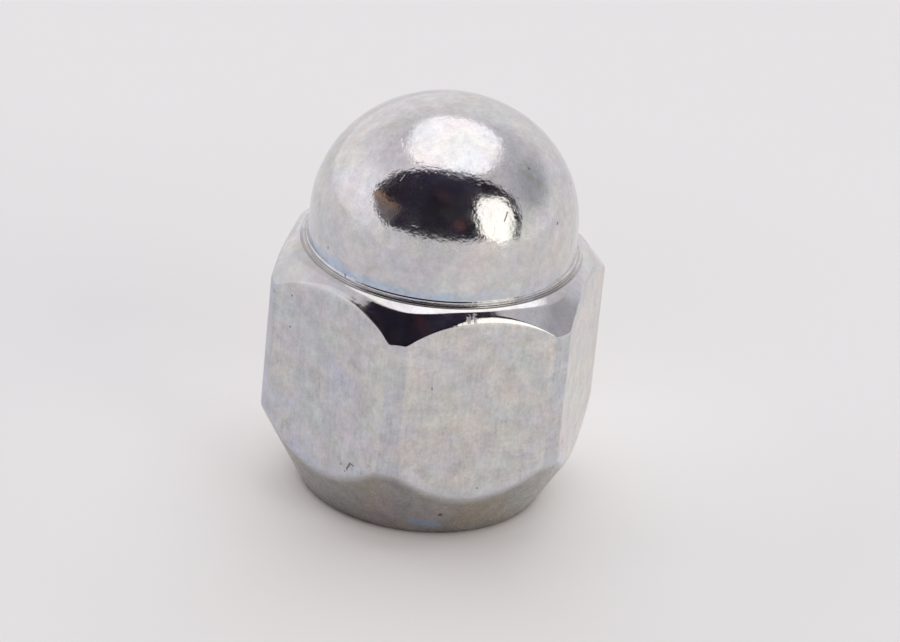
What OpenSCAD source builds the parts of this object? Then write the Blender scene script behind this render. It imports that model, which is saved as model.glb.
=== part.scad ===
// Closed-end (acorn) lug nut: a hexagon body on a conical seat, with the
// stud hole closed by a tall dome. One solid, millimetres, +Z up.
// Origin: centre of the annular end face, at the mouth of the stud hole.
// The hexagon's flats face +Y and -Y, and two of its corners lie on X.

/* [Hexagon] */
// Width across the flats, the wrench size
across_flats = 21; // [20.7:0.1:21.3]
// Diameter that the six corners are turned down to
corner_dia = 23.6; // [23.2:0.1:24]

/* [Conical seat] */
// Diameter of the flat end face that surrounds the hole
end_face_dia = 16.5; // [16:0.1:17]
// Included angle of the cone that centres the nut in the wheel
seat_angle = 60; // [58:1:62]
// Height of the small chamfer that breaks the edge between end face and cone
end_edge = 0.15; // [0.1:0.05:0.3]

/* [Top chamfer and shoulder] */
// Height of the shoulder at its inner edge, where the bead's groove lies
shoulder_h = 17.96; // [17.6:0.01:18.4]
// Diameter of the shoulder's inner edge
shoulder_in_dia = 19.32; // [19.2:0.02:19.4]
// Fall of the conical shoulder, measured from a level plane
shoulder_angle = 30; // [20:1:35]
// Diameter at which shoulder and chamfer would meet in a sharp edge
shoulder_dia = 20.3; // [20.1:0.1:20.5]
// Slope of the turned top chamfer, measured from a level plane
chamfer_angle = 48.2; // [46:0.2:52]
// Radius that blends the shoulder into the chamfer
shoulder_r = 0.8; // [0.5:0.05:1.2]

/* [Bead at the foot of the dome] */
// Outer diameter of the small round bead
bead_dia = 18.76; // [18.7:0.02:18.8]
// Radius of the bead's section
bead_r = 0.2; // [0.18:0.01:0.22]
// Height of the bead's centre above the shoulder's inner edge
bead_rise = 0.14; // [0.1:0.01:0.18]

/* [Dome] */
// Diameter of the dome's wall where it meets the shoulder
dome_foot_dia = 18.52; // [18.4:0.02:18.6]
// Draft of the wall, in degrees
dome_draft = 2; // [1.5:0.1:2.5]
// Height of the centre of the arc that turns the wall into the crown
knuckle_h = 20; // [19.6:0.1:20.4]
// Radius of that arc
knuckle_r = 8.3; // [8.1:0.1:8.4]
// How far the crown's centre lies below the arc's centre
crown_drop = 1.25; // [1:0.05:1.5]

/* [Stud hole] */
// Minor diameter of the M12 x 1.5 thread, which is the plain wall here
thread_minor_dia = 10.376; // [10.3:0.002:10.5]
// Diameter of the countersink at the mouth
mouth_dia = 12.7; // [12.4:0.1:13]
// Depth of the cylindrical wall, from the end face
hole_depth = 21.5; // [20:0.1:22]
// Included angle of the conical end of the hole
hole_end_angle = 118; // [100:1:140]

/* [Hidden] */
$fn = 120;

af_r = across_flats / 2;
hex_r = af_r / cos(30);
corner_r = corner_dia / 2;
end_r = end_face_dia / 2;
seat_half = seat_angle / 2;
seat_top_h = (corner_r - end_r) / tan(seat_half);
shoulder_R = shoulder_dia / 2;
shoulder_in_r = shoulder_in_dia / 2;
shoulder_low_h = shoulder_h - (shoulder_R - shoulder_in_r) * tan(shoulder_angle);
chamfer_low_h = shoulder_low_h - (corner_r - shoulder_R) * tan(chamfer_angle);
minor_r = thread_minor_dia / 2;
mouth_r = mouth_dia / 2;
mouth_h = mouth_r - minor_r;
hole_tip_h = hole_depth + minor_r / tan(hole_end_angle / 2);

// Shoulder blend: the arc's centre lies on the bisector of the two cones, and
// its tangent points on the shoulder cone and on the chamfer
sh_mid = (shoulder_angle + chamfer_angle) / 2;
sh_in = shoulder_r / cos((chamfer_angle - shoulder_angle) / 2);
sh_cx = shoulder_R - sh_in * sin(sh_mid);
sh_cz = shoulder_low_h - sh_in * cos(sh_mid);
sh_ux = sh_cx + shoulder_r * sin(shoulder_angle);
sh_uz = sh_cz + shoulder_r * cos(shoulder_angle);
sh_tx = sh_cx + shoulder_r * sin(chamfer_angle);
sh_tz = sh_cz + shoulder_r * cos(chamfer_angle);

// Edge break at the end face: its lower and upper radii. It leans 60 degrees
// from the axis, halfway between the cone and the face
en_tx = end_r + end_edge * tan(seat_half);
en_cx = en_tx - end_edge * tan(45 + seat_half / 2);

// Dome: wall line from the foot, tangent to the knuckle arc, which is
// tangent to the crown arc on the line through both centres
foot_r = dome_foot_dia / 2;
kn_tz = knuckle_h + knuckle_r * sin(dome_draft);
kn_tx = foot_r - (kn_tz - shoulder_h) * tan(dome_draft);
kn_cx = kn_tx - knuckle_r * cos(dome_draft);
crown_r = knuckle_r + sqrt(kn_cx * kn_cx + crown_drop * crown_drop);
crown_cz = knuckle_h - crown_drop;
join_a = atan2(crown_drop, kn_cx);

// Half section of everything below the shoulder's inner edge
module body_section() {
    polygon([
        [0, 0], [en_cx, 0], [en_tx, end_edge],
        [corner_r, seat_top_h], [corner_r, chamfer_low_h],
        [sh_tx, sh_tz], [sh_cx, sh_cz], [sh_ux, sh_uz],
        [shoulder_in_r, shoulder_h], [0, shoulder_h]
    ]);
    intersection() {
        translate([sh_cx, sh_cz]) circle(r = shoulder_r);
        polygon([
            [sh_cx, sh_cz],
            [sh_cx + 2 * shoulder_r * sin(shoulder_angle), sh_cz + 2 * shoulder_r * cos(shoulder_angle)],
            [sh_cx + 2 * shoulder_r * sin(chamfer_angle), sh_cz + 2 * shoulder_r * cos(chamfer_angle)]
        ]);
    }
}

// Half section of the dome, from inside the body to the crown
module dome_section() {
    // wall
    polygon([
        [0, shoulder_h - 3], [foot_r, shoulder_h - 3], [foot_r, shoulder_h],
        [kn_tx, kn_tz], [0, kn_tz]
    ]);
    // knuckle arc, cut by the line through the two centres
    intersection() {
        translate([kn_cx, knuckle_h]) circle(r = knuckle_r);
        polygon([
            [0, crown_cz], [30 * cos(join_a), crown_cz + 30 * sin(join_a)],
            [30, kn_tz - 1], [0, kn_tz - 1]
        ]);
    }
    // crown arc
    intersection() {
        translate([0, crown_cz]) circle(r = crown_r);
        polygon([
            [0, crown_cz], [30 * cos(join_a), crown_cz + 30 * sin(join_a)],
            [0, crown_cz + 30 * sin(join_a)]
        ]);
    }
}

// Small round bead around the dome's foot
module bead_section() {
    translate([bead_dia / 2 - bead_r, shoulder_h + bead_rise]) circle(r = bead_r);
}

// Turned outline of the whole nut, before the flats
module turned_outline() {
    rotate_extrude() body_section();
    rotate_extrude() dome_section();
    rotate_extrude() bead_section();
}

// Six flats, over the height of the body only
module wrench_flats() {
    translate([0, 0, -1])
        cylinder(h = shoulder_h + 1.01, r = hex_r, $fn = 6);
    translate([0, 0, shoulder_h - 1])
        cylinder(h = 14, r = af_r - 0.05);
}

// Blind hole for the stud, open at the end face
module stud_hole() {
    rotate_extrude() polygon([
        [0, -1], [mouth_r + 1, -1], [minor_r, mouth_h],
        [minor_r, hole_depth], [0, hole_tip_h]
    ]);
}

module lug_nut() {
    color([0.78, 0.77, 0.76])
    difference() {
        intersection() {
            turned_outline();
            wrench_flats();
        }
        stud_hole();
    }
}

lug_nut();
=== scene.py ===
"""Looks of a closed-end lug nut: bright zinc on forged steel.

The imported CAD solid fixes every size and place. One detailed mesh stands for it: the same
nut with softened forged edges, fine lines at the dome's foot and a real M12 x 1.5 thread.
Lengths inside the mesh code are millimetres, and are scaled to metres at the end.
"""
import math

import bpy
import numpy as np
from mathutils import Matrix, Vector


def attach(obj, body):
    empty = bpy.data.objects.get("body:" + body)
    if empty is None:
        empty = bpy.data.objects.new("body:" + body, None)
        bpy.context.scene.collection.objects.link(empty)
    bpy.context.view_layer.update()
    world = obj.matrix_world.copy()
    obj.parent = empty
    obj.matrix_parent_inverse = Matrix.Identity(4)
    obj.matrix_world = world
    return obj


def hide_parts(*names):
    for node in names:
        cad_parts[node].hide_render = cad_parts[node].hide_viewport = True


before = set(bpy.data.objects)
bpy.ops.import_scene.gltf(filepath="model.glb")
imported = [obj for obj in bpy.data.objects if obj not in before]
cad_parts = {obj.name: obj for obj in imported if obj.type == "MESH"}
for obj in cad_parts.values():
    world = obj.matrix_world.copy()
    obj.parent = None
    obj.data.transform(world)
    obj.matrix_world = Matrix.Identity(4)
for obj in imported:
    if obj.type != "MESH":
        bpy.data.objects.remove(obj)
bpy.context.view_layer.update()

# ---------------------------------------------------------------- sizes, as in the CAD model
APOTHEM = 10.5
CORNER_R = 11.8
END_R = 8.25
SEAT_TAN = math.tan(math.radians(30))
SHOULDER_Z = 17.96
CHAMFER_LOW_Z = 15.827
FOOT_R, DRAFT = 9.26, math.radians(2)
KNUCKLE_Z, KNUCKLE_R, CROWN_DROP = 20.0, 8.3, 1.25
MINOR_R, MAJOR_R, PITCH = 5.188, 6.0, 1.5
MOUTH_R = 6.35
HOLE_Z, HOLE_TIP_Z = 21.5, 24.617

kn_tz = KNUCKLE_Z + KNUCKLE_R * math.sin(DRAFT)
kn_tx = FOOT_R - (kn_tz - SHOULDER_Z) * math.tan(DRAFT)
KN_X = kn_tx - KNUCKLE_R * math.cos(DRAFT)
CROWN_R = KNUCKLE_R + math.hypot(KN_X, CROWN_DROP)
CROWN_Z = KNUCKLE_Z - CROWN_DROP
JOIN_A = math.atan2(CROWN_DROP, KN_X)


# ---------------------------------------------------------------- smooth 3-D value noise
def lattice(ix, iy, iz, seed):
    h = (ix * 374761393 + iy * 668265263 + iz * 2147483647 + seed * 1274126177) & 0xFFFFFFFF
    h = ((h ^ (h >> 13)) * 1274126177) & 0xFFFFFFFF
    h = ((h ^ (h >> 16)) * 2246822519) & 0xFFFFFFFF
    return ((h ^ (h >> 15)) & 0xFFFFFF) / float(0xFFFFFF) * 2 - 1


def noise3(p, scale, seed):
    q = p / scale + 1000.0
    i = np.floor(q).astype(np.int64)
    f = q - i
    f = f * f * f * (f * (f * 6 - 15) + 10)
    out = 0
    for dx in (0, 1):
        for dy in (0, 1):
            for dz in (0, 1):
                w = (
                    (f[:, 0] if dx else 1 - f[:, 0])
                    * (f[:, 1] if dy else 1 - f[:, 1])
                    * (f[:, 2] if dz else 1 - f[:, 2])
                )
                out = out + w * lattice(i[:, 0] + dx, i[:, 1] + dy, i[:, 2] + dz, seed)
    return out


# ---------------------------------------------------------------- the nut's section at each azimuth
N = 384  # columns round the outside
SEXTANT = N // 6
u = (np.arange(N) % SEXTANT) / SEXTANT
THETA = np.radians(
    60 * (np.arange(N) // SEXTANT) + 60 * (u - 0.6 * np.sin(2 * np.pi * u) / (2 * np.pi))
)  # closer together at the corners, which lie at 0, 60, 120 ...
from_corner = (THETA + np.pi / 6) % (np.pi / 3) - np.pi / 6
from_face = np.pi / 6 - np.abs(from_corner)
cornerness = np.cos(6 * from_corner)  # 1 at a corner, -1 in the middle of a flat


def smin(a, b, k):
    h = np.maximum(k - np.abs(a - b), 0) / k
    return np.minimum(a, b) - h * h * k / 4


def hex_r(z):
    """Radius of the hexagon at each column. The corners are turned off, a little more towards the seat."""
    low = np.clip((16 - z) / 10, 0, 1)
    return smin(APOTHEM / np.cos(from_face), CORNER_R - 0.10 * low, 0.09)


def arc2(cx, cz, r, a0, a1, n):
    a = np.radians(np.linspace(a0, a1, n))
    return np.stack([cx + r * np.cos(a), cz + r * np.sin(a)], -1)


def round_corner(p0, p1, p2, r, n):
    """n points of an arc that rounds the corner p1 between p0 and p2, one arc for each column."""
    d0 = p0 - p1
    d2 = p2 - p1
    l0 = np.linalg.norm(d0, axis=-1, keepdims=True)
    l2 = np.linalg.norm(d2, axis=-1, keepdims=True)
    d0, d2 = d0 / l0, d2 / l2
    cosang = (d0 * d2).sum(-1, keepdims=True)
    half = np.arccos(np.clip(cosang, -1, 1)) / 2
    t = r / np.tan(half)
    mid = d0 + d2
    mid /= np.linalg.norm(mid, axis=-1, keepdims=True)
    c = p1 + mid * (r / np.sin(half))
    a, b = p1 + d0 * t - c, p1 + d2 * t - c
    out = []
    turn = np.pi - 2 * half
    for k in np.linspace(0, 1, n):
        w0 = np.sin((1 - k) * turn) / np.sin(turn)
        w1 = np.sin(k * turn) / np.sin(turn)
        out.append(c + a * w0 + b * w1)
    return out


rows, zones = [], []  # each row holds an (r, z) pair for every column


def add(points, zone):
    """points: (n, 2), the same for all columns, or a list of (N, 2)."""
    for p in points:
        p = np.asarray(p, float)
        rows.append(np.repeat(p[None], N, 0) if p.ndim == 1 else p)
        zones.append(zone)


def between(a, b, n, skip=0):
    """n points after a, up to and without b."""
    k = np.linspace(0, 1, n + 2)[1:-1]
    return [a + (b - a) * t for t in k]


# dome: crown, knuckle, drafted wall
for a in np.linspace(math.pi / 2, JOIN_A, 26)[1:]:
    add([[CROWN_R * math.cos(a), CROWN_Z + CROWN_R * math.sin(a)]], "dome")
for a in np.linspace(JOIN_A, DRAFT, 26)[1:]:
    add([[KN_X + KNUCKLE_R * math.cos(a), KNUCKLE_Z + KNUCKLE_R * math.sin(a)]], "dome")


def wall(z):
    return FOOT_R - (z - SHOULDER_Z) * math.tan(DRAFT)


for z in np.linspace(kn_tz, 18.40, 10)[1:]:
    add([[wall(z), z]], "dome")
add([[wall(18.35), 18.35]], "dome")


def down_step(r, z, hollow, edge_r, tilt, n0, n1):
    """A small step out from a wall: a fillet and a round edge, which meet at the tilt."""
    cx, cz = r + hollow, z
    t = math.radians(tilt)
    px, pz = cx - hollow * math.cos(t), cz - hollow * math.sin(t)
    ex, ez = px - edge_r * math.cos(t), pz - edge_r * math.sin(t)
    add(arc2(cx, cz, hollow, 180, 180 + tilt, n0), "bead")
    add(arc2(ex, ez, edge_r, tilt, 0, n1)[1:], "bead")
    return ex + edge_r, ez


# the bead at the dome's foot: two small round steps, then the tool's groove
sr, sz = down_step(wall(18.33), 18.33, 0.09, 0.10, 50, 6, 7)
sr, sz = sr + 0.003, sz - 0.145
add([[sr, sz]], "bead")
sr, sz = down_step(sr, sz - 0.002, 0.022, 0.034, 50, 4, 4)
add([[sr + 0.001, sz - 0.04], [sr + 0.004, 17.90]], "bead")
RING_R, RING_Z = 9.73, 17.965
add([[sr + 0.012, 17.878], [sr + 0.035, 17.865], [9.45, 17.862], [9.53, 17.882]], "bead")
add([[9.61, 17.914], [9.675, 17.945], [9.71, 17.960]], "shoulder")


def soften(p0, p1, p2, t, n):
    """n points of a parabola that softens the corner p1 over the length t on both sides."""
    a = p1 + (p0 - p1) / np.linalg.norm(p0 - p1, axis=-1, keepdims=True) * t
    b = p1 + (p2 - p1) / np.linalg.norm(p2 - p1, axis=-1, keepdims=True) * t
    return [(1 - k) ** 2 * a + 2 * k * (1 - k) * p1 + k * k * b for k in np.linspace(0, 1, n)]


# the shoulder falls in a narrow cone, widest at the corners; then the top chamfer, and the soft
# edge into the flats
col = np.ones(N)
h_top = hex_r(16.5)
r_c = 10.2 + 0.18 * cornerness
z_c = 17.95 - 0.25 * (r_c - 9.795)
z_edge = z_c - (h_top - r_c) * (z_c - CHAMFER_LOW_Z) / (CORNER_R - r_c)
turn = (np.degrees(THETA) - 240 + 180) % 360 - 180  # one corner was struck a little low on one side
z_edge = z_edge - 0.13 * np.exp(-(((turn + 3.4) / 2.0) ** 2))
# each flat's edge is sharper on one side of its middle
rho_e = 0.325 + 0.95 * ((1 - cornerness) / 2) ** np.where(from_corner > 0, 3.0, 1.2)
r_s = 9.90 + 0.47 * ((cornerness + 1) / 2) ** 2
z_s = RING_Z - 0.52 * (r_s - RING_R)
z_hi = z_edge - 0.02 * (1 - cornerness)
lean = np.arctan2(z_s - z_hi, h_top - r_s)
room = np.hypot(h_top - r_s, z_s - z_hi)
rho_e = np.minimum(rho_e, (room - 0.09) / np.tan((np.pi / 2 - lean) / 2))
P_flat = np.stack([RING_R * col, RING_Z * col], -1)
P_s = np.stack([r_s, z_s], -1)
P_h = np.stack([h_top, z_hi], -1)
P_f = np.stack([h_top, z_hi - 3], -1)
arc_s = soften(P_flat, P_s, P_h, (0.105 + 0.055 * cornerness)[:, None], 7)
arc_e = round_corner(P_s, P_h, P_f, rho_e[:, None], 11)
assert (arc_e[0][:, 0] > arc_s[-1][:, 0]).all()
add([P_flat] + [P_flat + (arc_s[0] - P_flat) * k for k in (0.06, 0.15, 0.5)], "shoulder")
add(arc_s, "shoulder")
add(between(arc_s[-1], arc_e[0], 6), "chamfer")
add(arc_e[:6], "chamfer")
add(arc_e[6:], "flat")

# flats, down to the soft edge into the cone seat
h_low = hex_r(5.0)
z_lo = (h_low - END_R) / SEAT_TAN
P_l = np.stack([h_low, z_lo], -1)
P_up = np.stack([h_low, z_lo + 3], -1)
P_dn = np.stack([h_low - 1.0 * SEAT_TAN, z_lo - 1.0], -1)
arc_l = round_corner(P_up, P_l, P_dn, (1.25 + 0.15 * cornerness)[:, None], 10)
top, bot = arc_e[-1], arc_l[0]
for k in np.linspace(0, 1, 34)[1:-1]:
    z = top[:, 1] + (bot[:, 1] - top[:, 1]) * k
    r = np.array([hex_r(zz)[i] for i, zz in enumerate(z)])
    add([np.stack([r, z], -1)], "flat")
add(arc_l[:6], "flat")
add(arc_l[6:], "seat")

# cone seat, end face
edge = round_corner(
    np.stack([(END_R + 1.0 * SEAT_TAN) * col, 1.0 * col], -1),
    np.stack([END_R * col, 0 * col], -1),
    np.stack([7.5 * col, 0 * col], -1),
    0.28 * col[:, None],
    6,
)
add(between(arc_l[-1], edge[0], 12), "seat")
add(edge, "seat")
add([[7.75, 0.0], [7.3, 0.0], [6.85, 0.0], [6.55, 0.0]], "end")

rows = np.array(rows)  # (rows, N, 2)
n_out = len(rows)
X = rows[..., 0] * np.cos(THETA)
Y = rows[..., 0] * np.sin(THETA)
Z = rows[..., 1]
outer = np.stack([X, Y, Z], -1)

# the forging's faint waviness: a few thousandths of a millimetre
zone_amp = {"dome": 0.0022, "bead": 0.0012, "shoulder": 0.004, "chamfer": 0.006, "flat": 0.007, "seat": 0.004, "end": 0.0}
amp = np.array([zone_amp[z] for z in zones])
amp = np.convolve(np.pad(amp, 2, mode="edge"), np.ones(5) / 5, "valid")
flat_p = outer.reshape(-1, 3)
wave = (
    0.62 * noise3(flat_p, 2.1, 3) + 0.38 * noise3(flat_p, 0.95, 5)
).reshape(n_out, N)

# ---------------------------------------------------------------- normals, from the grid itself
def grid_normals(g, pole_first=None, pole_last=None):
    """Unit normals of a closed ring grid (rows, columns, 3), by central differences."""
    dt = np.roll(g, -1, 1) - np.roll(g, 1, 1)
    ds = np.empty_like(g)
    fwd = g[1:] - g[:-1]
    ln = np.linalg.norm(fwd, axis=-1, keepdims=True) + 1e-12
    un = fwd / ln
    ds[1:-1] = un[:-1] * ln[1:] + un[1:] * ln[:-1]
    ds[0], ds[-1] = un[0], un[-1]
    n = np.cross(ds, dt)
    n /= np.linalg.norm(n, axis=-1, keepdims=True) + 1e-12
    return n


n0 = grid_normals(outer)
if (n0[5, :, 2]).mean() < 0:
    n0 = -n0
outer = outer + n0 * (wave * amp[:, None])[..., None]
outer[..., 2] = np.maximum(outer[..., 2], 0)
outer[..., 0] = np.clip(outer[..., 0], -CORNER_R + 0.002, CORNER_R - 0.001)
outer[..., 1] = np.clip(outer[..., 1], -APOTHEM, APOTHEM)

# for the material: distances from the flats' lower edge, top edge and corner strips
half_strip = math.acos(APOTHEM / (CORNER_R - 0.05))  # from the middle of a flat to its strip
strip_d = (half_strip - np.abs(from_face)) * 11.2
edges_outer = np.stack(
    [
        np.repeat((rows[..., 1] - z_lo[None])[..., None], 1, -1)[..., 0],
        z_edge[None] - rows[..., 1],
        np.repeat(strip_d[None], n_out, 0),
    ],
    -1,
)

# ---------------------------------------------------------------- hole: countersink, thread, blind end
M = 128  # columns inside: one for every third outside
TH_IN = THETA[::3]
STEPS = 14  # rows in one turn of the thread
hole_rows = []


def ring(r, z):
    return np.stack([np.broadcast_to(r, (M,)), np.broadcast_to(z, (M,))], -1)


hole_rows.append(ring(MOUTH_R + 0.05, 0.0))
hole_rows.append(ring(MOUTH_R - 0.02, 0.02))
for r in (6.1, 5.9, 5.6, 5.4):
    hole_rows.append(ring(r, MOUTH_R - r))
THREAD_END = 19.0
z_start = MOUTH_R - MINOR_R


def thread_r(th, z):
    """Internal 60 degree thread: crest at the minor radius, root at the major radius."""
    ph = (z / PITCH - th / (2 * np.pi)) % 1.0
    d = np.abs(ph - 0.5) * PITCH  # from the middle of the crest land, 0 .. half a pitch
    crest, root = PITCH / 8, PITCH / 16
    t = np.clip((d - crest) / (PITCH / 2 - crest - root), 0, 1)
    t = t + 0.06 * np.sin(2 * np.pi * t) * -1
    depth = (MAJOR_R - MINOR_R) * t
    fade = np.clip((THREAD_END - z) / 1.4, 0, 1)
    return MINOR_R + depth * fade


n_thread = int((THREAD_END + 0.3 - 0.35) / PITCH * STEPS)
for z in np.linspace(0.35, THREAD_END + 0.3, n_thread):
    r = thread_r(TH_IN, z)
    cone = MOUTH_R - z  # countersink
    r = np.maximum(r, cone) if z < z_start + 0.9 else r
    hole_rows.append(ring(r, z))
for z in np.linspace(THREAD_END + 0.3, HOLE_Z, 5)[1:]:
    hole_rows.append(ring(MINOR_R, z))
for k in (0.04, 0.35, 0.7, 0.93):
    hole_rows.append(ring(MINOR_R * (1 - k), HOLE_Z + (HOLE_TIP_Z - HOLE_Z) * k))
# drop the rows that fall inside the countersink's own rows
hole = [hole_rows[0], hole_rows[1]]
for row in hole_rows[2:6]:
    if row[0, 1] < 0.3:
        hole.append(row)
hole += hole_rows[6:]
hole = np.array(hole)
inner = np.stack([hole[..., 0] * np.cos(TH_IN), hole[..., 0] * np.sin(TH_IN), hole[..., 1]], -1)
n_in = len(inner)

# ---------------------------------------------------------------- one closed mesh
verts = [outer.reshape(-1, 3), inner.reshape(-1, 3)]
top_pole = np.array([[0, 0, CROWN_Z + CROWN_R]])
tip_pole = np.array([[0, 0, HOLE_TIP_Z]])
verts = np.concatenate(verts + [top_pole, tip_pole])
o_in = n_out * N
i_top, i_tip = o_in + n_in * M, o_in + n_in * M + 1
faces, face_zone = [], []


def vo(r, c):
    return r * N + c % N


def vi(r, c):
    return o_in + r * M + c % M


for c in range(N):
    faces.append((i_top, vo(0, c), vo(0, c + 1)))
    face_zone.append("dome")
for r in range(n_out - 1):
    zn = zones[r + 1] if zones[r] != "dome" else zones[r + 1]
    for c in range(N):
        faces.append((vo(r, c), vo(r + 1, c), vo(r + 1, c + 1), vo(r, c + 1)))
        face_zone.append(zn)
for c in range(M):  # three columns outside meet one inside
    a = [vo(n_out - 1, 3 * c + k) for k in range(4)]
    faces.append((a[0], vi(0, c), a[1]))
    faces.append((a[1], vi(0, c), vi(0, c + 1), a[2]))
    faces.append((a[2], vi(0, c + 1), a[3]))
    face_zone += ["end"] * 3
for r in range(n_in - 1):
    for c in range(M):
        faces.append((vi(r, c), vi(r + 1, c), vi(r + 1, c + 1), vi(r, c + 1)))
        face_zone.append("hole")
for c in range(M):
    faces.append((vi(n_in - 1, c), i_tip, vi(n_in - 1, c + 1)))
    face_zone.append("hole")

mesh = bpy.data.meshes.new("lug_nut_visual")
mesh.from_pydata((verts * 0.001).tolist(), [], faces)
mesh.update()
nut = bpy.data.objects.new("lug_nut_visual", mesh)
bpy.context.scene.collection.objects.link(nut)
mesh.validate()
edges_all = np.zeros((len(verts), 3), np.float32)
edges_all[: n_out * N] = edges_outer.reshape(-1, 3)
mesh.attributes.new("edges", "FLOAT_VECTOR", "POINT").data.foreach_set("vector", edges_all.ravel())
tris = sum(len(p.vertices) - 2 for p in mesh.polygons)
print("triangles", tris, "rows", n_out, n_in)

# ---------------------------------------------------------------- shader helpers
class Graph:
    def __init__(self, tree):
        self.t = tree
        tree.nodes.clear()

    def n(self, kind, **props):
        node = self.t.nodes.new(kind)
        for k, v in props.items():
            setattr(node, k, v)
        return node

    def put(self, socket, value):
        if isinstance(value, bpy.types.NodeSocket):
            self.t.links.new(value, socket)
        elif value is not None:
            socket.default_value = value

    def m(self, op, a, b=None, c=None, clamp=False):
        node = self.n("ShaderNodeMath", operation=op, use_clamp=clamp)
        for s, v in zip(node.inputs, (a, b, c)):
            self.put(s, v)
        return node.outputs[0]

    def v(self, op, a, b=None, scale=None):
        node = self.n("ShaderNodeVectorMath", operation=op)
        self.put(node.inputs[0], a)
        if b is not None:
            self.put(node.inputs[1], b)
        if scale is not None:
            self.put(node.inputs["Scale"], scale)
        return node.outputs["Value"] if op in ("DOT_PRODUCT", "LENGTH", "DISTANCE") else node.outputs["Vector"]

    def step(self, x, lo, hi, a=0.0, b=1.0):
        """Smooth step of x from lo to hi, as a value from a to b. lo may be above hi."""
        node = self.n("ShaderNodeMapRange", interpolation_type="SMOOTHSTEP", clamp=True)
        if not isinstance(lo, bpy.types.NodeSocket) and lo > hi:
            lo, hi, a, b = hi, lo, b, a
        for name, val in (("Value", x), ("From Min", lo), ("From Max", hi), ("To Min", a), ("To Max", b)):
            self.put(node.inputs[name], val)
        return node.outputs["Result"]

    def mix(self, f, a, b, blend="MIX"):
        node = self.n("ShaderNodeMix", data_type="RGBA", blend_type=blend, clamp_factor=True)
        self.put(node.inputs[0], f)
        self.put(node.inputs[6], a)
        self.put(node.inputs[7], b)
        return node.outputs[2]

    def noise(self, vec, scale, detail=3.0, rough=0.5, distortion=0.0, out="Fac"):
        node = self.n("ShaderNodeTexNoise", noise_dimensions="3D")
        self.put(node.inputs["Vector"], vec)
        node.inputs["Scale"].default_value = scale
        node.inputs["Detail"].default_value = detail
        node.inputs["Roughness"].default_value = rough
        node.inputs["Distortion"].default_value = distortion
        return node.outputs[out]

    def ramp(self, x, stops):
        node = self.n("ShaderNodeValToRGB")
        self.put(node.inputs[0], x)
        el = node.color_ramp.elements
        while len(el) < len(stops):
            el.new(0.5)
        for e, (pos, color) in zip(el, stops):
            e.position = pos
            e.color = (*color, 1)
        return node.outputs[0]

    def xyz(self, vec):
        node = self.n("ShaderNodeSeparateXYZ")
        self.put(node.inputs[0], vec)
        return node.outputs


def new_material(name):
    m = bpy.data.materials.new(name)
    m.use_nodes = True
    return m, Graph(m.node_tree)


def finish_metal(g, color, rough, normal=None, metallic=1.0, aniso=0.0):
    out = g.n("ShaderNodeOutputMaterial")
    b = g.n("ShaderNodeBsdfPrincipled")
    g.put(b.inputs["Base Color"], color)
    g.put(b.inputs["Roughness"], rough)
    b.inputs["Metallic"].default_value = metallic
    if normal is not None:
        g.put(b.inputs["Normal"], normal)
    g.t.links.new(b.outputs[0], out.inputs["Surface"])
    return b


def bump(g, height, strength, distance, normal=None):
    node = g.n("ShaderNodeBump")
    node.inputs["Strength"].default_value = strength
    node.inputs["Distance"].default_value = distance
    g.put(node.inputs["Height"], height)
    if normal is not None:
        g.put(node.inputs["Normal"], normal)
    return node.outputs[0]


def mm(g):
    """Object coordinates in millimetres."""
    tc = g.n("ShaderNodeTexCoord")
    return g.v("SCALE", tc.outputs["Object"], scale=1000.0)


def length2(g, a, b):
    return g.m("SQRT", g.m("ADD", g.m("MULTIPLY", a, a), g.m("MULTIPLY", b, b)))


def near_segment(g, p, a, b, reach):
    """1 on the segment from a to b, in millimetres, falling to 0 at the reach."""
    a, b = Vector(a), Vector(b)
    ab = b - a
    pa = g.v("SUBTRACT", p, tuple(a))
    if ab.length > 1e-4:
        t = g.m("DIVIDE", g.v("DOT_PRODUCT", pa, tuple(ab)), ab.length_squared, clamp=True)
        pa = g.v("SUBTRACT", pa, g.v("SCALE", tuple(ab), scale=t))
    return g.step(g.v("LENGTH", pa), reach, reach * 0.35)


def most(g, masks):
    out = masks[0]
    for k in masks[1:]:
        out = g.m("MAXIMUM", out, k)
    return out


def mottle(g, p, tint, lum=0.5, chroma=0.2, lum_scale=0.9, chroma_scale=0.38, grain=None):
    """The tint with the blotches of a chromated zinc coat: light and dark, and faint hues."""
    c = g.xyz(g.v("SUBTRACT", g.noise(p, chroma_scale, 3, 0.62, 0.2, out="Color"), (0.5, 0.5, 0.5)))
    warm = g.v("SCALE", (1.0, 0.15, -1.0), scale=g.m("MULTIPLY", c[0], chroma))
    green = g.v("SCALE", (-0.4, 0.6, -0.4), scale=g.m("MULTIPLY", c[1], chroma))
    c = g.v("ADD", g.v("ADD", warm, green), (1, 1, 1))
    fac = g.noise(p, lum_scale, 5, 0.86)
    if grain is not None:
        fac = g.m("ADD", fac, g.m("MULTIPLY", g.m("SUBTRACT", g.noise(g.v("MULTIPLY", p, grain), 1.0, 2, 0.7), 0.5), 0.25))
    fac = g.m("ADD", g.m("MULTIPLY", g.m("SUBTRACT", fac, 0.5), lum), 1.0)
    return g.v("MULTIPLY", g.v("SCALE", c, scale=fac), tint)


def specks(g, p, scale, keep, reach):
    """Sparse round pits: a few cells of a Voronoi pattern."""
    v = g.n("ShaderNodeTexVoronoi", feature="F1")
    g.put(v.inputs["Vector"], p)
    v.inputs["Scale"].default_value = scale
    r = g.xyz(v.outputs["Color"])
    size = g.m("ADD", g.m("MULTIPLY", r[1], 0.7), 0.3)
    d = g.m("DIVIDE", v.outputs["Distance"], g.m("MULTIPLY", size, reach * scale))
    return g.m("MULTIPLY", g.step(d, 1.0, 0.4), g.m("LESS_THAN", r[0], keep))


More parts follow.
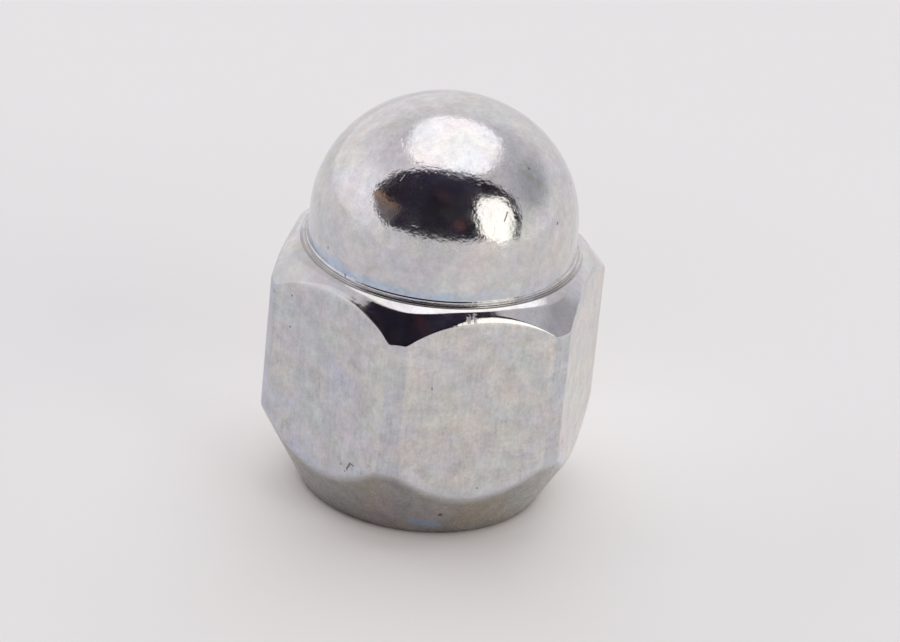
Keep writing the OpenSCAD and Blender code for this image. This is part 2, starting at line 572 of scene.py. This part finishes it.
def groove_shade_and_dirt(g, p):
    """Darker in the tool's groove at the foot of the bead: painted shade in the groove, with some dirt."""
    q = g.xyz(p)
    r = length2(g, q[0], q[1])
    line = g.step(length2(g, g.m("SUBTRACT", r, 9.42), g.m("MULTIPLY", g.m("SUBTRACT", q[2], 17.91), 0.8)), 0.13, 0.06)
    return g.m("MULTIPLY", line, g.step(g.noise(p, 0.35, 3, 0.6), 0.35, 0.55, 0.3, 0.75))


def marks(g, p, *items):
    """The strongest of some nicks and scratches; each is its ends and its reach, in millimetres."""
    return most(g, [near_segment(g, p, *it) for it in items])


def hairlines(g, p, seed, amount=0.62):
    """Short fine handling scratches: pieces of the contours of a smooth noise."""
    q = g.v("ADD", p, (seed, seed * 0.7, -seed))
    line = g.step(g.m("ABSOLUTE", g.m("SUBTRACT", g.noise(q, 0.55, 1, 0.4), 0.5)), 0.0035, 0.0010)
    return g.m("MULTIPLY", line, g.step(g.noise(q, 0.9, 2, 0.5), amount, amount + 0.05))


mats = {}
# dome and bead: bright zinc, orange-peeled, with a bluish band of chromate at the foot
m, g = new_material("zinc_bright")
p = mm(g)
q = g.xyz(p)
tint = mottle(g, p, (0.632, 0.616, 0.622), lum=0.88, chroma=0.19)
sideways = g.v("NORMALIZE", g.v("MULTIPLY", p, (1, 1, 0)))
# the dome's tint is lighter on its left below the crown; lower down it is lighter on the right half and darker on the
# left half
lighter_left_low = g.m("MULTIPLY", g.step(g.v("DOT_PRODUCT", sideways, (-0.94, -0.34, 0.0)), 0.72, 0.95), g.step(q[2], 26.0, 23.5))
tint = g.mix(lighter_left_low, tint, g.v("MULTIPLY", tint, (1.08, 1.08, 1.07)))
level = g.m("ADD", q[2], g.m("MULTIPLY", g.noise(p, 0.5, 3, 0.6), 1.5))
right_half = g.step(g.m("ADD", g.v("DOT_PRODUCT", sideways, (0.93, -0.37, 0.0)), g.m("MULTIPLY", g.m("SUBTRACT", g.noise(p, 0.5, 4, 0.7), 0.5), 0.25)), -0.08, 0.22)
lower = g.m("MULTIPLY", right_half, g.step(level, 25.2, 23.0))
tint = g.mix(lower, tint, g.v("MULTIPLY", tint, (1.085, 1.075, 1.055)))
lower = g.m("MULTIPLY", g.m("SUBTRACT", 1.0, right_half), g.step(level, 23.4, 21.8))
tint = g.mix(lower, tint, g.v("MULTIPLY", tint, (0.92, 0.93, 0.95)))
veil = g.step(g.noise(p, 0.30, 5, 0.7, 0.4), 0.42, 0.66)
tint = g.mix(g.m("MULTIPLY", veil, 0.5), tint, g.v("MULTIPLY", tint, (0.90, 0.92, 0.95)))
height = g.m("ADD", q[2], g.m("MULTIPLY", g.m("SUBTRACT", g.noise(p, 0.6, 4, 0.7), 0.5), 1.9))
blue = g.m("MULTIPLY", g.step(height, 19.15, 18.65), g.step(q[2], 18.22, 18.36))
blue = g.m("MULTIPLY", blue, g.step(g.noise(p, 0.22, 3, 0.6), 0.36, 0.52, 0.45, 1.0))
blue = g.m("MULTIPLY", blue, g.step(g.v("DOT_PRODUCT", sideways, (-0.857, -0.515, 0.0)), 0.40, 0.80, 0.35, 1.0))
tint = g.mix(blue, tint, g.v("MULTIPLY", tint, (0.80, 0.93, 1.09)))
smear = most(g, [
    near_segment(g, p, (3.2, -5.1, 26.5), (4.0, -5.65, 25.7), 0.75),
    near_segment(g, p, (4.0, -5.65, 25.7), (4.9, -5.85, 24.8), 0.55),
])
smear = g.m("MULTIPLY", smear, g.step(g.noise(p, 1.6, 4, 0.7), 0.42, 0.60))
tint = g.mix(g.m("MULTIPLY", smear, 0.55), tint, (0.50, 0.53, 0.36, 1))
# painted shade, with some dirt, in the tool's groove at the bead's foot
tint = g.mix(groove_shade_and_dirt(g, p), tint, (0.40, 0.405, 0.36, 1))
spots = marks(
    g, p,
    ((-8.887, -2.411, 19.39), (-8.887, -2.411, 19.39), 0.13),
    ((3.817, -5.26, 26.11), (3.86, -5.27, 26.06), 0.13),
    ((5.816, -6.578, 22.54), (5.80, -6.60, 22.50), 0.15),
    ((7.711, -3.077, 23.72), (7.70, -3.12, 23.68), 0.10),
    ((-8.155, -4.357, 18.37), (-8.11, -4.515, 18.14), 0.07),
    ((1.468, -8.161, 23.738), (1.732, -7.83, 24.234), 0.06),
)
pits = g.m("MAXIMUM", g.m("MULTIPLY", specks(g, p, 0.55, 0.14, 0.10), 0.7), spots)
tint = g.mix(g.m("MULTIPLY", pits, 0.7), tint, (0.12, 0.115, 0.10, 1))
cuts = marks(
    g, p,
    ((-2.88, 1.928, 27.948), (-2.31, 2.211, 28.045), 0.09),
    ((-4.295, -2.28, 27.295), (-4.387, -3.048, 27.001), 0.10),
    ((-4.71, -7.141, 23.162), (-4.263, -7.402, 23.193), 0.10),
    ((-5.05, -4.915, 25.55), (-4.75, -4.79, 25.86), 0.04),
    ((-3.25, -5.072, 26.514), (-2.643, -5.394, 26.528), 0.06),
    ((-3.933, -4.52, 26.541), (-3.495, -4.666, 26.664), 0.05),
)
cuts = g.m("MULTIPLY", cuts, g.step(g.noise(p, 3.5, 2, 0.6), 0.35, 0.6, 0.1, 0.6))
cuts = g.m("MAXIMUM", cuts, g.m("MULTIPLY", g.m("MAXIMUM", hairlines(g, p, 3.0), hairlines(g, p, 17.0)), 0.30))
rough = g.step(g.noise(p, 0.7, 4, 0.65), 0.35, 0.68, 0.075, 0.16)
rough = g.m("ADD", rough, g.m("MULTIPLY", veil, 0.05))
peel = g.m("ADD", g.noise(p, 2.6, 1, 0.5), g.m("MULTIPLY", g.noise(p, 5.6, 1, 0.5), 0.50))
peel = g.m("ADD", peel, g.m("MULTIPLY", g.noise(p, 11.5, 1, 0.5), 0.17))
peel = g.m("SUBTRACT", peel, g.m("MULTIPLY", g.m("MAXIMUM", pits, cuts), 1.4))
nrm = bump(g, peel, 1.0, 0.0000100)
finish_metal(g, tint, rough, nrm, metallic=0.985)
mats["dome"] = mats["bead"] = m
# shoulder and chamfer: the brightest, cut by the tool
m, g = new_material("zinc_turned")
p = mm(g)
tint = mottle(g, p, (0.645, 0.632, 0.643), lum=0.60, chroma=0.18)
sideways = g.v("NORMALIZE", g.v("MULTIPLY", p, (1, 1, 0)))
dull = g.step(g.m("ADD", g.v("DOT_PRODUCT", sideways, (-0.906, -0.423, 0.0)), g.m("MULTIPLY", g.noise(p, 0.8, 4, 0.7), 0.3)), 0.90, 1.02)
tint = g.mix(dull, tint, g.v("MULTIPLY", tint, (0.84, 0.845, 0.84)))
# painted shade, with some dirt, in the tool's groove at the bead's foot
tint = g.mix(groove_shade_and_dirt(g, p), tint, (0.40, 0.405, 0.36, 1))
spots = marks(
    g, p,
    ((-8.158, -6.319, 17.625), (-8.03, -6.56, 17.58), 0.16),
    ((5.339, -7.555, 18.0), (5.36, -7.60, 17.9), 0.12),
    ((6.773, -6.872, 17.75), (6.80, -6.90, 17.7), 0.11),
    ((-11.25, -1.519, 16.03), (-11.25, -1.53, 16.02), 0.13),
    ((-2.745, -9.602, 17.93), (-2.661, -9.807, 17.88), 0.08),
)
pits = g.m("MAXIMUM", g.m("MULTIPLY", specks(g, p, 0.7, 0.2, 0.09), 0.6), spots)
tint = g.mix(g.m("MULTIPLY", pits, 0.65), tint, (0.13, 0.12, 0.10, 1))
cuts = marks(
    g, p,
    ((-7.124, -8.106, 17.195), (-6.969, -7.80, 17.634), 0.07),
    ((-8.016, -6.568, 17.593), (-7.39, -7.972, 17.066), 0.09),
    ((-1.10, -10.135, 17.659), (-1.17, -10.375, 17.334), 0.10),
    ((-0.68, -10.129, 17.702), (-0.75, -10.366, 17.375), 0.08),
    ((-3.81, -10.094, 17.226), (-3.79, -10.09, 17.22), 0.11),
)
cuts = g.m("MAXIMUM", cuts, g.m("MULTIPLY", hairlines(g, p, 8.0), 0.25))
rough = g.step(g.noise(p, 1.0, 4, 0.65), 0.35, 0.7, 0.08, 0.17)
scuff = marks(g, p, ((-1.05, -10.12, 17.66), (-1.12, -10.37, 17.33), 0.24), ((-0.62, -10.12, 17.70), (-0.70, -10.37, 17.37), 0.30))
scuff = g.m("MULTIPLY", scuff, g.step(g.noise(p, 4.0, 2, 0.6), 0.35, 0.55, 0.2, 1.0))
rough = g.m("ADD", rough, g.m("MULTIPLY", scuff, 0.34))
peel = g.m("ADD", g.noise(p, 2.8, 1, 0.5), g.m("MULTIPLY", g.noise(p, 7.5, 1, 0.5), 0.30))
nrm = bump(g, g.m("SUBTRACT", peel, g.m("MULTIPLY", g.m("MAXIMUM", pits, cuts), 1.6)), 1.0, 0.0000045)
finish_metal(g, tint, rough, nrm)
mats["shoulder"] = mats["chamfer"] = m
# flats: dull, blotched, with cooler and lighter rims and corner strips; painted shade on the faces turned from the
# front-right and on one corner strip, painted light on one flat and beside the strips
m, g = new_material("zinc_dull")
p = mm(g)
at = g.n("ShaderNodeAttribute", attribute_name="edges")
low, topd, strip = g.xyz(at.outputs["Vector"])
wob = g.m("MULTIPLY", g.m("SUBTRACT", g.noise(p, 1.1, 4, 0.7), 0.5), 0.9)
fine = g.m("MULTIPLY", g.m("SUBTRACT", g.noise(p, 2.6, 3, 0.7), 0.5), 0.5)
tint = mottle(g, p, (0.661, 0.640, 0.625), lum=1.15, chroma=0.22, grain=(5.0, 5.0, 0.6))
sideways = g.v("NORMALIZE", g.v("MULTIPLY", p, (1, 1, 0)))
facing = g.v("DOT_PRODUCT", sideways, (0.5, -0.866, 0.0))
# painted shade: the faces turned away from the front-right corner are painted darker and cooler
away = g.step(g.m("ADD", facing, g.m("MULTIPLY", wob, 0.5)), 0.62, 0.22)
tint = g.mix(away, tint, g.v("MULTIPLY", tint, (0.865, 0.885, 0.935)))
# painted shade: the corner strip facing (0.5, -0.87) is painted darker
corner = g.step(facing, 0.955, 0.985)
tint = g.mix(g.m("MULTIPLY", corner, g.step(strip, 0.14, -0.10)), tint, g.v("MULTIPLY", tint, (0.93, 0.94, 0.96)))
# painted light: the flat facing (0.87, -0.5) is painted lighter
painted_light_right_flat = g.step(g.v("DOT_PRODUCT", sideways, (0.866, -0.5, 0.0)), 0.80, 0.90)
tint = g.mix(painted_light_right_flat, tint, g.v("MULTIPLY", tint, (1.09, 1.08, 1.06)))
cool = g.step(g.noise(p, 0.42, 5, 0.7, 0.3), 0.53, 0.62, 0.0, 0.6)
tint = g.mix(cool, tint, g.v("MULTIPLY", tint, (0.955, 0.985, 1.05)))
rim = g.step(g.m("ADD", low, wob), 1.0, 0.3)
tint = g.mix(g.m("MULTIPLY", rim, 0.85), tint, g.v("MULTIPLY", tint, (0.99, 1.03, 1.10)))
toprim = g.step(g.m("ADD", topd, g.m("MULTIPLY", fine, 0.4)), 0.32, 0.12)
tint = g.mix(g.m("MULTIPLY", toprim, 0.6), tint, g.v("MULTIPLY", tint, (1.05, 1.06, 1.08)))
side = g.step(g.m("ADD", strip, fine), 0.14, -0.10)
tint = g.mix(side, tint, g.v("MULTIPLY", tint, (0.925, 0.945, 0.985)))
# painted highlight: a lighter band on the flats beside each corner strip
bright = g.m("MULTIPLY", g.step(g.m("ADD", strip, g.m("MULTIPLY", fine, 0.5)), 0.95, 0.35), g.step(strip, 0.05, 0.2))
tint = g.mix(g.m("MULTIPLY", bright, g.step(g.noise(p, 0.5, 3, 0.6), 0.40, 0.60)), tint, g.v("MULTIPLY", tint, (1.05, 1.04, 1.02)))
brush = g.m("MULTIPLY", g.step(g.noise(p, 1.3, 4, 0.6), 0.42, 0.6), most(g, [
    near_segment(g, p, (-2.6, -10.5, 12.6), (-0.2, -10.5, 14.5), 0.7),
    near_segment(g, p, (-0.9, -10.5, 13.7), (0.5, -10.5, 14.4), 0.45),
]))
tint = g.mix(g.m("MULTIPLY", brush, 0.6), tint, (0.60, 0.625, 0.66, 1))
spots = marks(
    g, p,
    ((-7.79, -7.50, 5.07), (-7.66, -7.735, 5.61), 0.10),
    ((-7.66, -7.735, 5.61), (-7.51, -7.99, 5.55), 0.08),
    ((-8.065, -7.033, 5.22), (-8.06, -7.04, 5.22), 0.10),
    ((-7.877, -7.357, 4.85), (-7.87, -7.36, 4.84), 0.08),
    ((-3.30, -10.5, 12.62), (-3.27, -10.5, 12.42), 0.06),
    ((6.887, -9.077, 7.18), (6.95, -8.95, 6.85), 0.10),
    ((-11.78, -0.387, 15.255), (-11.78, -0.39, 15.25), 0.15),
    ((-10.987, -1.965, 15.67), (-10.98, -1.98, 15.66), 0.11),
    ((-10.953, -2.033, 13.34), (-10.95, -2.04, 13.33), 0.11),
    ((-2.07, -10.5, 9.46), (-2.05, -10.5, 9.44), 0.05),
    ((0.63, -10.5, 4.65), (0.64, -10.5, 4.64), 0.09),
)
pits = g.m("MAXIMUM", g.m("MULTIPLY", specks(g, p, 0.6, 0.16, 0.09), 0.6), spots)
tint = g.mix(g.m("MULTIPLY", pits, 0.8), tint, (0.11, 0.10, 0.09, 1))
rough = g.step(g.noise(p, 1.8, 5, 0.7), 0.3, 0.7, 0.26, 0.40)
relief = g.m("SUBTRACT", g.noise(p, 4.5, 4, 0.75), g.m("MULTIPLY", pits, 1.6))
relief = g.m("SUBTRACT", relief, g.m("MULTIPLY", hairlines(g, p, 5.0, 0.58), 0.4))
nrm = bump(g, relief, 1.0, 0.0000085)
finish_metal(g, tint, rough, nrm, metallic=0.97)
mats["flat"] = m
# seat and end face: browner, smoother; painted shade at the foot and on one side
m, g = new_material("zinc_satin")
p = mm(g)
low = g.xyz(g.n("ShaderNodeAttribute", attribute_name="edges").outputs["Vector"])[0]
tint = mottle(g, p, (0.410, 0.391, 0.376), lum=1.1, chroma=0.26)
tint = g.mix(g.step(g.noise(p, 0.30, 4, 0.6), 0.46, 0.60, 0.0, 0.8), tint, g.v("MULTIPLY", tint, (1.04, 1.03, 0.92)))
tint = g.mix(g.step(g.noise(g.v("ADD", p, (9, 4, 2)), 0.35, 4, 0.6), 0.52, 0.66, 0.0, 0.7), tint, g.v("MULTIPLY", tint, (0.84, 0.86, 0.92)))
blue = most(g, [
    near_segment(g, p, (-2.85, -8.38, 1.20), (-2.4, -8.52, 1.15), 0.60),
    near_segment(g, p, (-2.4, -8.52, 1.10), (-1.75, -8.70, 1.05), 0.66),
    near_segment(g, p, (-1.75, -8.70, 1.05), (-1.2, -8.76, 0.90), 0.34),
])
blue = g.m("MULTIPLY", blue, g.step(g.noise(p, 1.5, 3, 0.6), 0.34, 0.48, 0.45, 1.0))
tint = g.mix(g.m("MULTIPLY", blue, 0.72), tint, (0.37, 0.47, 0.64, 1))
spots = marks(
    g, p,
    ((-1.43, -9.35, 2.10), (-1.40, -9.35, 2.08), 0.21),
)
faint = g.m("MULTIPLY", marks(g, p, ((-3.713, -9.806, 3.873), (-3.70, -9.23, 2.94), 0.045)), 0.4)
pits = g.m("MAXIMUM", g.m("MULTIPLY", specks(g, p, 0.6, 0.2, 0.09), 0.6), g.m("MAXIMUM", spots, faint))
tint = g.mix(g.m("MULTIPLY", pits, 0.8), tint, (0.06, 0.05, 0.045, 1))
edge = g.m("ADD", low, g.m("MULTIPLY", g.m("SUBTRACT", g.noise(p, 1.3, 4, 0.7), 0.5), 0.5))
edge = g.step(edge, -0.85, -0.02)
tint = g.mix(edge, tint, (0.625, 0.63, 0.645, 1))
# painted shade: darker along the bottom edge, where the nut meets the floor
painted_shade_at_foot = g.step(g.m("ADD", g.xyz(p)[2], g.m("MULTIPLY", g.m("SUBTRACT", g.noise(p, 0.8, 3, 0.6), 0.5), 0.3)), 0.32, 0.08)
tint = g.mix(g.m("MULTIPLY", painted_shade_at_foot, 0.5), tint, g.v("MULTIPLY", tint, (0.62, 0.61, 0.61)))
# painted shade: the seat is painted darker on the side facing (-0.94, -0.34)
painted_shade_left = g.step(g.v("DOT_PRODUCT", g.v("NORMALIZE", g.v("MULTIPLY", p, (1, 1, 0))), (-0.94, -0.34, 0.0)), 0.70, 0.95)
tint = g.mix(painted_shade_left, tint, g.v("MULTIPLY", tint, (0.89, 0.89, 0.90)))
rough = g.step(g.noise(p, 1.6, 4, 0.6), 0.3, 0.7, 0.22, 0.36)
nrm = bump(g, g.m("SUBTRACT", g.noise(p, 4.0, 4, 0.7), g.m("MULTIPLY", pits, 1.5)), 1.0, 0.000007)
finish_metal(g, tint, rough, nrm, metallic=0.97)
mats["seat"] = mats["end"] = m
# thread
m, g = new_material("zinc_thread")
p = mm(g)
tint = mottle(g, p, (0.50, 0.485, 0.465), lum=0.8, chroma=0.2)
finish_metal(g, tint, g.step(g.noise(p, 3, 3, 0.6), 0.3, 0.7, 0.24, 0.4), metallic=0.97)
mats["hole"] = m

order = []
for z in ("dome", "shoulder", "flat", "seat", "hole"):
    order.append(mats[z])
    mesh.materials.append(mats[z])
index = {z: order.index(mats[z]) for z in mats}
mesh.polygons.foreach_set("material_index", np.array([index[z] for z in face_zone], np.int32))

# smooth shading with the grid's own normals
mesh.polygons.foreach_set("use_smooth", np.ones(len(mesh.polygons), bool))
nn = grid_normals(outer)
if nn[5, :, 2].mean() < 0:
    nn = -nn
ni = grid_normals(inner)
mid = n_in // 2
radial = (ni[mid] * inner[mid] * [1, 1, 0]).sum(-1).mean()
if radial > 0:
    ni = -ni
vn = np.concatenate([nn.reshape(-1, 3), ni.reshape(-1, 3), [[0, 0, 1]], [[0, 0, -1]]])
last = slice((n_out - 1) * N, n_out * N)
vn[last] = (0, 0, -1)
mesh.normals_split_custom_set_from_vertices(vn.tolist())

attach(nut, "root")
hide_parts("lug_nut")

# ---------------------------------------------------------------- floor
CAM_AZ = -19.12  # the camera's azimuth; 0 looks along +Y
bpy.ops.mesh.primitive_plane_add(size=6.0, location=(0, 0, -0.00002))
floor = bpy.context.object
floor.name = "floor"
m, g = new_material("pale_floor")
out = g.n("ShaderNodeOutputMaterial")
d = g.n("ShaderNodeBsdfPrincipled")  # a pale floor with painted light: it glows to lift the shadows on it
d.inputs["Base Color"].default_value = (0.74, 0.735, 0.735, 1)
d.inputs["Roughness"].default_value = 0.9
d.inputs["Specular IOR Level"].default_value = 0.0
away = g.m("DIVIDE", g.v("LENGTH", mm(g)), 60.0, clamp=True)  # the glow holds a painted contact shadow, darkest where the nut touches it
painted_shadow_fore_aft = g.ramp(away, [
    (0.137, (0.040, 0.030, 0.028)),
    (0.145, (0.140, 0.125, 0.118)),
    (0.160, (0.212, 0.193, 0.184)),
    (0.310, (0.200, 0.182, 0.173)),
    (0.600, (0.198, 0.194, 0.194)),
    (1.000, (0.217, 0.216, 0.217)),
])
painted_shadow_sides = g.ramp(away, [
    (0.137, (0.070, 0.057, 0.053)),
    (0.145, (0.190, 0.175, 0.170)),
    (0.160, (0.245, 0.230, 0.225)),
    (0.200, (0.262, 0.245, 0.240)),
    (0.300, (0.240, 0.232, 0.232)),
    (0.500, (0.208, 0.206, 0.207)),
    (1.000, (0.218, 0.216, 0.217)),
])
# the painted shadow is lighter at the nut's sides than in front of it and behind it
across = (math.cos(math.radians(CAM_AZ)), math.sin(math.radians(CAM_AZ)), 0.0)
lateral = g.m("ABSOLUTE", g.v("DOT_PRODUCT", g.v("NORMALIZE", mm(g)), across))
g.put(d.inputs["Emission Color"], g.mix(g.step(lateral, 0.35, 0.90), painted_shadow_fore_aft, painted_shadow_sides))
d.inputs["Emission Strength"].default_value = 1.0
g.t.links.new(d.outputs[0], out.inputs["Surface"])
floor.data.materials.append(m)

# ---------------------------------------------------------------- surroundings: a pale tent, open at the front
world = bpy.data.worlds.new("tent")
bpy.context.scene.world = world
world.use_nodes = True
g = Graph(world.node_tree)
tc = g.n("ShaderNodeTexCoord")
rot = g.n("ShaderNodeVectorRotate", rotation_type="Z_AXIS")
g.put(rot.inputs["Vector"], tc.outputs["Generated"])
rot.inputs["Angle"].default_value = math.radians(-CAM_AZ)
d = g.v("NORMALIZE", rot.outputs[0])
x, y, z = g.xyz(d)
front = g.m("MULTIPLY", y, -1.0)
az = g.m("MULTIPLY", g.m("ARCTAN2", x, front), 180 / math.pi)
el = g.m("MULTIPLY", g.m("ARCSINE", z), 180 / math.pi)
zc = g.m("MAXIMUM", z, 0.02)
fx = g.m("DIVIDE", x, zc)
fy = g.m("DIVIDE", front, zc)  # towards the camera


def direction(a, e):
    a, e = math.radians(a), math.radians(e)
    return (math.sin(a) * math.cos(e), -math.cos(a) * math.cos(e), math.sin(e))


def all_of(g, *masks):
    r = masks[0]
    for k in masks[1:]:
        r = g.m("MULTIPLY", r, k)
    return r


def blob(g, a, e, radius, core=0.0):
    """1 at a direction, falling softly to 0 at the radius, in degrees."""
    dot = g.v("DOT_PRODUCT", d, direction(a, e))
    return g.step(dot, math.cos(math.radians(radius)), math.cos(math.radians(core)))


def rounded(g, X, Y, a, b, turn, shear, power, soft):
    """A soft-edged, rounded rectangle in a plane: 1 inside."""
    c, s = math.cos(turn), math.sin(turn)
    u = g.m("ADD", g.m("MULTIPLY", X, c), g.m("MULTIPLY", Y, s))
    v = g.m("SUBTRACT", g.m("MULTIPLY", Y, c), g.m("MULTIPLY", X, s))
    u = g.m("ADD", u, g.m("MULTIPLY", v, shear))
    u = g.m("POWER", g.m("ABSOLUTE", g.m("DIVIDE", u, a)), power)
    v = g.m("POWER", g.m("ABSOLUTE", g.m("DIVIDE", v, b)), power)
    return g.step(g.m("POWER", g.m("ADD", u, v), 1 / power), 1 + soft, 1 - soft)


# pale cloth, cooler on the left and greyer on the right
pale = g.ramp(
    g.noise(d, 1.6, 3, 0.55),
    [(0.3, (0.92, 0.905, 0.92)), (0.5, (0.98, 0.965, 0.975)), (0.7, (1.05, 1.03, 1.03))],
)
pale = g.mix(g.m("MULTIPLY", blob(g, 180, 30, 60, 10), 0.6), pale, (0.86, 0.85, 0.86, 1))
pale = g.mix(g.m("MULTIPLY", blob(g, -90, 32, 50, 4), 0.55), pale, (1.26, 1.21, 1.27, 1))
pale = g.mix(g.m("MULTIPLY", blob(g, -150, 20, 50, 10), 0.20), pale, (1.10, 1.08, 1.10, 1))
pale = g.mix(g.m("MULTIPLY", blob(g, -104, 58, 30, 8), 0.75), pale, (0.78, 0.74, 0.78, 1))
pale = g.mix(g.m("MULTIPLY", blob(g, 104, 38, 52, 8), 0.95), pale, (0.60, 0.60, 0.635, 1))
pale = g.mix(g.m("MULTIPLY", blob(g, 105, 27, 21, 2), 0.55), pale, (0.34, 0.33, 0.36, 1))
pale = g.mix(g.m("MULTIPLY", blob(g, -165, 54, 34, 6), 0.7), pale, (0.80, 0.775, 0.785, 1))
pale = g.mix(blob(g, -128, 39, 26, 4), pale, g.v("MULTIPLY", pale, (0.91, 0.905, 0.91)))
floor_light = g.mix(g.step(az, -20.0, -120.0), (0.88, 0.87, 0.87, 1), (0.98, 0.96, 0.97, 1))
pale = g.mix(g.step(g.m("ADD", el, g.m("MULTIPLY", g.noise(d, 2.0, 3, 0.6), 8.0)), 4.0, 26.0), floor_light, pale)
near = all_of(g, g.step(el, 16.0, 5.0), g.step(g.m("ABSOLUTE", g.m("ADD", az, 14.0)), 56.0, 30.0))
pale = g.mix(near, pale, g.v("MULTIPLY", pale, (0.84, 0.84, 0.86)))
# the dark room seen through the open front
bottom = g.m("ADD", 10.0, g.m("MULTIPLY", g.m("POWER", g.m("DIVIDE", g.m("SUBTRACT", -45.0, az), 31.0, clamp=True), 2.0), 15.0))
bottom = g.m("SUBTRACT", bottom, g.step(az, 56.0, 66.0, 0.0, 7.0))
right_edge = g.m("SUBTRACT", 77.0, g.m("MULTIPLY", g.m("POWER", g.m("DIVIDE", g.m("SUBTRACT", 30.0, el), 24.0, clamp=True), 2.0), 9.0))
opening = all_of(
    g,
    g.step(g.m("SUBTRACT", el, bottom), -1.0, 1.5),
    g.step(az, -80.0, -76.5),
    g.step(g.m("SUBTRACT", az, right_edge), 1.2, -1.2),
    g.step(g.m("SUBTRACT", fy, g.m("MULTIPLY", fx, 0.05)), 0.21, 0.26),
)
dark = g.ramp(
    g.noise(d, 3.0, 3, 0.6),
    [(0.35, (0.013, 0.012, 0.017)), (0.6, (0.024, 0.019, 0.034))],
)
dark = g.mix(g.m("MULTIPLY", g.step(el, 46.0, 68.0), 0.8), dark, (0.030, 0.025, 0.050, 1))
brown = all_of(g, g.step(el, 31.0, 28.0), g.step(az, -41.0, -52.0))
dark = g.mix(brown, dark, (0.17, 0.145, 0.155, 1))
dark = g.mix(all_of(g, g.step(el, 31.5, 29.0), g.step(el, 23.0, 28.0), g.step(az, -40.0, -54.0)), dark, (0.34, 0.21, 0.13, 1))
dark = g.mix(g.m("MULTIPLY", blob(g, 15, 25, 7, 1), 0.85), dark, (0.115, 0.05, 0.045, 1))
dark = g.mix(g.m("MULTIPLY", blob(g, -4, 52, 8, 1), 0.6), dark, (0.07, 0.03, 0.04, 1))
dark = g.mix(g.m("MULTIPLY", blob(g, 4, 36, 9, 1), 0.5), dark, (0.035, 0.04, 0.03, 1))
color = g.mix(opening, pale, dark)
# a window or lamp to the right of the camera, and a soft box overhead
w = direction(50, 25)
right = (math.cos(math.radians(50)), math.sin(math.radians(50)), 0.0)
upv = tuple(Vector(right).cross(Vector(w)) * (1 if Vector(right).cross(Vector(w)).z > 0 else -1))
wc = g.m("MAXIMUM", g.v("DOT_PRODUCT", d, w), 0.05)
wu = g.m("DIVIDE", g.v("DOT_PRODUCT", d, right), wc)
wv = g.m("DIVIDE", g.v("DOT_PRODUCT", d, upv), wc)
window = all_of(g, rounded(g, g.m("SUBTRACT", wu, 0.018), g.m("SUBTRACT", wv, 0.006), 0.300, 0.334, -0.398, 0.215, 2.9, 0.05), g.step(wc, 0.3, 0.5))
color = g.mix(window, color, (1.70, 1.67, 1.55, 1))
roof = all_of(
    g,
    rounded(g, g.m("SUBTRACT", fx, 0.055), g.m("ADD", fy, 0.37), 0.555, 0.58, 0.12, 0.0, 3.0, 0.11),
    g.step(z, 0.1, 0.3),
)
color = g.mix(roof, color, (1.50, 1.48, 1.50, 1))
bg = g.n("ShaderNodeBackground")
g.put(bg.inputs["Color"], color)
bg.inputs["Strength"].default_value = 1.0
out = g.n("ShaderNodeOutputWorld")
g.t.links.new(bg.outputs[0], out.inputs["Surface"])
bpy.context.scene.view_settings.view_transform = "Standard"

# ---------------------------------------------------------------- camera
cam_data = bpy.data.cameras.new("camera")
cam = bpy.data.objects.new("camera", cam_data)
bpy.context.scene.collection.objects.link(cam)
bpy.context.scene.camera = cam
cam_data.sensor_width = 36.0
F_PX, DIST = 8445.0, 0.5786
cam_data.lens = F_PX / 900 * 36.0
cam_data.clip_start, cam_data.clip_end = 0.01, 50
E, A, ROLL = math.radians(26.95), math.radians(CAM_AZ), math.radians(5.69)
back = Vector((math.sin(A) * math.cos(E), -math.cos(A) * math.cos(E), math.sin(E)))
right = Vector((math.cos(A), math.sin(A), 0))
up = back.cross(right)
r2 = math.cos(ROLL) * right + math.sin(ROLL) * up
u2 = -math.sin(ROLL) * right + math.cos(ROLL) * up
target = Vector((0.001123 * math.cos(A), 0.001123 * math.sin(A), 0.012127))
target += (-r2 + u2) * (0.5 * DIST / F_PX)
cam.matrix_world = Matrix.Translation(target + back * DIST) @ Matrix(
    ((r2.x, u2.x, back.x), (r2.y, u2.y, back.y), (r2.z, u2.z, back.z))
).to_4x4()
